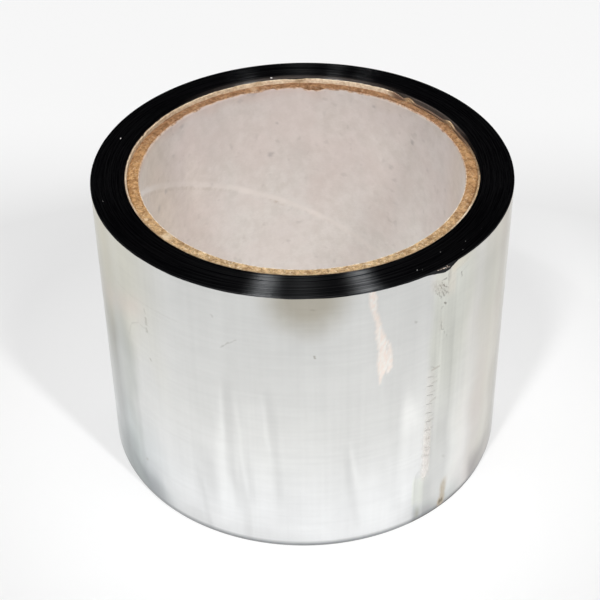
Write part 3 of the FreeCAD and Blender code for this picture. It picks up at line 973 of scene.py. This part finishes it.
def foil_material():
    """Silver film: satin metal; its streaks, tints, painted reflections and painted shade are painted on the
    mesh under its finer marks.
    """
    net = Graph("foil_film")
    wall = net.attribute("wall", "Vector")
    marks = net.parts(net.attribute("marks", "Vector"))
    fine = net.noise(net.scaled(wall, 0.9, 0.02, 0), 1, 3, 0.6)
    level = net.noise(net.scaled(wall, 0.045, 1.1, 0), 1, 3, 0.6)
    clouds = net.noise(net.scaled(wall, 0.12, 0.16, 0), 1, 3, 0.55, 0.4)
    light = net.math("ADD", net.ramp(fine, 0.3, 0.7, 0.988, 1.012), net.ramp(level, 0.3, 0.7, -0.014, 0.014))
    light = net.math("ADD", light, net.ramp(clouds, 0.3, 0.7, -0.015, 0.015))
    colour = net.vector("MULTIPLY", net.attribute("film", "Vector"), light)
    specks = net.noise(net.scaled(wall, 2.3, 0.8, 0), 1, 3, 0.65, 0.9)
    rubbed = net.times(marks["X"], net.ramp(specks, 0.35, 0.65, 0.1, 0.6), clamp=True)
    colour = net.blend(rubbed, colour, (0.58, 0.54, 0.48))
    grime = net.times(marks["Y"], net.ramp(specks, 0.35, 0.65, 0.5, 1))
    colour = net.blend(net.times(grime, 0.6), colour, (0.86, 0.79, 0.73))
    stain = net.times(marks["Z"], net.ramp(specks, 0.3, 0.6, 0.6, 1))
    colour = net.blend(net.ramp(stain, 0, 0.6, 0, 0.8), colour, (0.46, 0.385, 0.28))
    colour = net.blend(net.ramp(stain, 0.5, 1, 0, 0.8), colour, (0.12, 0.095, 0.055))
    split = net.parts(wall)
    spot = net.node("CombineXYZ", {"X": split["Z"], "Y": split["Y"]}).outputs[0]
    ragged = net.vector("SUBTRACT", net.noise(spot, 1.9, 3, output="Color"), (0.5, 0.5, 0.5))
    spot = net.vector("ADD", spot, net.scaled(ragged, 0.9, 1.1, 0))
    colour = net.blend(net.strokes(spot, SCRATCHES), colour, (0.25, 0.23, 0.17))
    spot = net.vector("ADD", spot, (-0.35, 0.45, 0))
    scuffs = net.times(net.strokes(spot, SCUFFS), net.ramp(specks, 0.35, 0.6, 0.35, 0.9))
    colour = net.blend(scuffs, colour, (0.12, 0.09, 0.07))
    ticks = net.times(net.attribute("ticks"), net.ramp(specks, 0.3, 0.6, 0.6, 1))
    colour = net.blend(ticks, colour, (0.4, 0.35, 0.29))
    metal = net.math("SUBTRACT", net.ramp(grime, 0, 1, 1, 0.55), net.times(ticks, 0.5), clamp=True)
    roughness = net.math("ADD", net.ramp(clouds, 0.3, 0.7, 0.11, 0.16), net.times(rubbed, 0.3))
    return net.principled(Base_Color=colour, Metallic=metal, Roughness=roughness)


def edge_material():
    """The black cut edges of the turns, glossy along each turn and sloping a little outwards, with dust and a
    painted grey sheen at the inner edge.
    """
    net = Graph("wound_edge")
    place = net.place()
    radius = net.vector("LENGTH", net.scaled(place, 1, 1, 0), output="Value")
    turns = net.node("CombineXYZ", {"X": net.times(radius, 3.2)}).outputs[0]
    turns = net.vector("ADD", turns, net.scaled(place, 0.09, 0.09, 0.09))
    lines = net.noise(turns, 1, 5, 0.8)
    slope = net.relief(net.times(radius, -WOUND_EDGE_SLOPE), 1)
    tint = net.blend(net.ramp(lines, 0.38, 0.6), (0.006, 0.007, 0.008), (0.047, 0.048, 0.049))
    tangent = net.node("Tangent", direction_type="RADIAL", axis="Z").outputs[0]
    gloss = net.node("BsdfAnisotropic", {
        "Color": tint, "Roughness": 0.4, "Anisotropy": 0.75, "Normal": net.relief(lines, 0.01, 0.5, slope),
        "Tangent": tangent}, distribution="BECKMANN")
    # Grey of the inner edge: dust, and a painted sheen beside the broken facing
    dust_and_sheen_colour = net.blend(net.attribute("dust"), (0.0007, 0.0006, 0.0009), (0.08, 0.066, 0.058))
    dull = net.node("BsdfDiffuse", {"Color": dust_and_sheen_colour})
    return net.surface(net.node("AddShader", {0: gloss.outputs[0], 1: dull.outputs[0]}))


def board_material():
    """Raw brown board: granular fibre with paler and darker flecks, pale patches at the ply joints, and
    painted shade.
    """
    net = Graph("chipboard")
    place = net.place()
    grain = net.noise(place, 0.9, 4, 0.7)
    flecks = net.noise(place, 1.5, 2, 0.6, 0.5)
    across = net.parts(place)
    # Painted shade darkens the back, where the board lies low under the black edge, and the gap by the broken
    # facing
    front = net.ramp(across["Y"], -34, -7)
    back = net.ramp(across["Y"], -2, 24)
    right = net.times(net.ramp(across["X"], 30, 37), net.ramp(across["Y"], 11, 1))
    brown = net.blend(net.ramp(grain, 0.34, 0.66), (0.34, 0.204, 0.096), (0.75, 0.535, 0.297))
    brown = net.coats(brown, (net.ramp(flecks, 0.58, 0.68, 0, 0.8), (0.83, 0.71, 0.52)),
                      (net.ramp(flecks, 0.4, 0.3, 0, 0.8), (0.15, 0.075, 0.032)),
                      (front, (0.86, 0.706, 0.565), "MULTIPLY"),
                      (back, (0.61, 0.575, 0.645), "MULTIPLY"),
                      (right, (0.9, 0.89, 0.92), "MULTIPLY"),
                      (net.times(net.attribute("joint"), 0.7), (0.78, 0.64, 0.46)),
                      (net.attribute("gap"), (0.1, 0.076, 0.062)))
    relief = net.relief(grain, 0.14, 0.8)
    return net.principled(Base_Color=brown, Roughness=0.85, Specular_IOR_Level=0.25, Normal=relief)


def liner_material():
    """Recycled paper: grey-white with a soft mottle, specks, a frayed brown rim, the pale, dotted seam and
    painted light.
    """
    net = Graph("liner_paper")
    bore = net.attribute("bore", "Vector")
    place = net.place()
    marks = net.parts(net.attribute("bore_marks", "Vector"))
    seam = net.parts(bore)["Z"]
    mottle = net.noise(place, 0.35, 4, 0.65)
    pink = net.noise(place, 0.09, 3, 0.55)
    fibres = net.noise(net.scaled(bore, 1.2, 2.4, 0), 1, 3, 0.6)
    specks = net.noise(place, 0.4, 1, 0.4)
    across = net.parts(place)
    height = across["Z"]
    colour = net.blend(net.ramp(mottle, 0.3, 0.7), (0.64, 0.58, 0.54), (0.715, 0.657, 0.621))
    colour = net.coats(colour, (net.ramp(pink, 0.4, 0.62, 0, 0.35), (0.705, 0.617, 0.585)),
                       (net.ramp(fibres, 0.3, 0.7, 0, 0.1), (0.48, 0.43, 0.4)),
                       (net.ramp(specks, 0.66, 0.8, 0, 0.25), (0.38, 0.33, 0.3)),
                       (net.ramp(height, 10, 80, 0.06, 1), (0.9, 0.89, 0.89), "MULTIPLY"))
    # Painted light and shade from BORE_PATCHES, evening out the lamps' shading in the bore
    colour = net.vector("MULTIPLY", colour, net.attribute("bore_painted_light", "Vector"))
    apart = net.math("ABSOLUTE", net.math("ADD", seam, net.times(net.math("SUBTRACT", mottle, 0.5), 1.2)))
    faded = net.ramp(net.noise(place, 0.09, 1, 0.5), 0.35, 0.6, 0.3, 0.75)
    faded = net.times(faded, net.ramp(height, 22, 27, 0, 1))
    seam_line = net.times(net.ramp(apart, 1.3, 0.2), faded)
    dots = net.times(marks["Z"], net.ramp(net.noise(place, 0.8, 2, 0.5), 0.42, 0.6, 0.2), clamp=True)
    dots = net.times(dots, net.ramp(net.math("ABSOLUTE", net.math("ADD", seam, 1.1)), 0.7, 0.2))
    torn = net.ramp(net.noise(place, 1.3, 3, 0.65), 0.38, 0.62)
    back = net.blend(torn, (0.28, 0.155, 0.09), (0.62, 0.42, 0.28))
    front = net.blend(torn, (0.52, 0.39, 0.26), (0.9, 0.81, 0.69))
    frayed = net.blend(net.ramp(across["Y"], -14, 6), front, back)
    colour = net.coats(colour, (seam_line, (0.79, 0.735, 0.695)), (net.times(dots, 0.55), (0.46, 0.38, 0.31)),
                       (marks["Y"], (0.3, 0.26, 0.25)), (marks["X"], frayed))
    return net.principled(Base_Color=colour, Diffuse_Roughness=1, Roughness=0.7, Specular_IOR_Level=0.3,
                          Sheen_Weight=0.35, Sheen_Roughness=0.5, Normal=net.relief(fibres, 0.03, 0.5))


def facing_material():
    """Cream paper, duller and browner where its edge is rubbed, and painted dark as shade in its broken gap
    and at its outer edge.
    """
    net = Graph("facing_paper")
    place = net.place()
    grain = net.noise(place, 1.2, 3, 0.6)
    cream = net.blend(net.ramp(grain, 0.3, 0.7), (0.72, 0.56, 0.4), (0.93, 0.82, 0.66))
    dull = net.blend(net.ramp(grain, 0.3, 0.7), (0.3, 0.18, 0.09), (0.62, 0.46, 0.28))
    # The gap share paints shade where the facing is broken away and along its outer edge
    colour = net.coats(dull, (net.attribute("cream"), cream), (net.attribute("gap"), (0.2, 0.127, 0.086)))
    relief = net.relief(grain, 0.05, 0.6)
    return net.principled(Base_Color=colour, Roughness=0.8, Specular_IOR_Level=0.3, Normal=relief)


def fleck_material(name, dark, pale):
    """Crumbs of torn tape and dust."""
    net = Graph(name)
    shade = net.noise(net.place(), 2.2, 2, 0.6)
    colour = net.blend(net.ramp(shade, 0.4, 0.6), dark, pale)
    return net.principled(Base_Color=colour, Roughness=0.7, Specular_IOR_Level=0.3)


# -------- the studio


def shown_share(net, glossy=1):
    """1 for camera, glossy and transmission rays and 0 for the rest, with the last two scaled by a share."""
    ray = net.node("LightPath").outputs
    mirrored = net.math("MAXIMUM", ray["Is Glossy Ray"], ray["Is Transmission Ray"])
    return net.math("MAXIMUM", ray["Is Camera Ray"], net.times(mirrored, glossy))


def make_floor():
    """A pale sheet, painted greyer outwards in front of the roll as painted shade that the foil mirrors.

    FLOOR_SHOWN is how much of it the camera and the foil see as its colour is written, which keeps it pale
    and its shadows light. It lights the roll as a plain sheet would.
    """
    net = Graph("studio_floor")
    place = net.place()
    # Painted shade: the sheet greys outwards in front of the roll, and stays pale behind it
    away = net.vector("LENGTH", net.scaled(place, 1, 1, 0), output="Value")
    behind = net.ramp(net.parts(place)["Y"], 50, 150)
    pale = net.math("MAXIMUM", net.ramp(away, 160, 60), behind)
    colour = net.blend(pale, (0.76,) * 3, (0.97,) * 3)
    shown = net.times(shown_share(net), FLOOR_SHOWN)
    hidden = net.blend(shown, colour, (0, 0, 0))
    sheet = net.principled(Base_Color=hidden, Roughness=0.9, Specular_IOR_Level=0.1, Emission_Color=colour,
                           Emission_Strength=shown)
    mesh = bpy.data.meshes.new("floor")
    side = FLOOR_REACH * METRE
    corners = [(-side, -side, 0), (side, -side, 0), (side, side, 0), (-side, side, 0)]
    mesh.from_pydata(corners, [], [(0, 1, 2, 3)])
    mesh.materials.append(sheet)
    plane = add_object("floor", mesh)


def make_surround():
    """A dim surround, pale where the camera sees it and where the foil mirrors it near the horizon."""
    net = Graph("studio", bpy.data.worlds)
    bpy.context.scene.world = net.owner
    direction = net.parts(net.node("TexCoord").outputs["Generated"])
    dim = net.ramp(direction["Y"], -0.5, 0.4, 0.3, 0.008, "LINEAR")
    horizon = net.ramp(direction["Z"], 0.26, 0.1, curve="LINEAR")
    lift = net.times(net.math("SUBTRACT", SURROUND_SHOWN, dim), shown_share(net, horizon))
    background = net.node("Background", {"Color": (1, 1, 1), "Strength": net.math("ADD", lift, dim)})
    net.node("OutputWorld", {"Surface": background.outputs[0]})


def place_light(light, out, distance, target=(0, 0, 0)):
    """Puts a light at a distance in millimetres from its target, facing it."""
    lamp = add_object(light.name, light)
    lamp.location = (Vector(target) + out * distance) * METRE
    lamp.rotation_euler = out.to_track_quat("Z", "Y").to_euler()


def soft_light(name, direction, distance, width, length, light_level):
    """A soft oval light in a direction from the roll, giving a level floor light_level of white."""
    out = Vector(direction).normalized()
    data = bpy.data.lights.new(name, "AREA")
    data.shape = "ELLIPSE"
    data.size = width * METRE
    data.size_y = length * METRE
    data.energy = light_level * math.pi ** 2 * (distance * METRE) ** 2 / out.z
    place_light(data, out, distance)


def bore_light(name, direction, target, distance, spread, light_level):
    """A small soft beam through the roll's opening onto a spot of the bore, in millimetres and degrees."""
    data = bpy.data.lights.new(name, "SPOT")
    data.spot_size = math.radians(spread)
    data.spot_blend = 1
    data.shadow_soft_size = 0.05 * distance * METRE
    data.energy = light_level * (2 * math.pi * distance * METRE) ** 2
    place_light(data, Vector(direction).normalized(), distance, target)


def make_lights():
    """Two soft front lights, a long strip overhead and two weak fills for the bore."""
    soft_light("front_left", (-0.26, -0.5, 0.83), 4000, 300, 1250, 0.4)
    soft_light("front_right", (0.405, -0.5, 0.77), 4000, 220, 1250, 0.38)
    soft_light("overhead", (0, -0.2, 1), 4000, 400, 3600, 0.045)
    bore_light("bore_right", (-0.41, -0.29, 0.87), (25, 29, 34), 600, 7, 0.36)
    bore_light("bore_left", (0.41, -0.29, 0.87), (-24, 30, 28), 600, 6.5, 0.19)


def make_camera():
    """The viewing angle, lens and small roll of the picture that the roll is shown in."""
    elevation = math.radians(VIEW_ELEVATION)
    roll = math.radians(VIEW_ROLL)
    forward = Vector((0, math.cos(elevation), -math.sin(elevation)))
    up = Vector((0, math.sin(elevation), math.cos(elevation)))
    side = Vector((1, 0, 0))
    turned_side = side * math.cos(roll) + up * math.sin(roll)
    turned_up = up * math.cos(roll) - side * math.sin(roll)
    data = bpy.data.cameras.new("camera")
    data.sensor_width = 36
    data.lens = VIEW_LENS
    data.clip_start = 0.01
    data.clip_end = 50
    camera = add_object("camera", data)
    axes = Matrix((turned_side, turned_up, -forward)).transposed()
    radius = VIEW_UNIT * METRE
    place = Vector(VIEW_TARGET) * radius - forward * VIEW_DISTANCE * radius
    camera.matrix_world = Matrix.Translation(place) @ axes.to_4x4()
    bpy.context.scene.camera = camera


# -------- the scene

bpy.context.scene.view_settings.view_transform = "Standard"

black = edge_material()
make_outer_turns([foil_material(), black])
make_inner_turns(black)
make_board(board_material())
make_liner(liner_material())
make_facing(facing_material())
make_flecks("torn_bits", FLECKS, fleck_material("torn_bits", (0.03, 0.02, 0.015), (0.62, 0.5, 0.42)))
make_flecks("dust_specks", SPECKS, fleck_material("dust", (0.45, 0.44, 0.42), (0.85, 0.84, 0.82)))
make_floor()
make_surround()
make_lights()
make_camera()
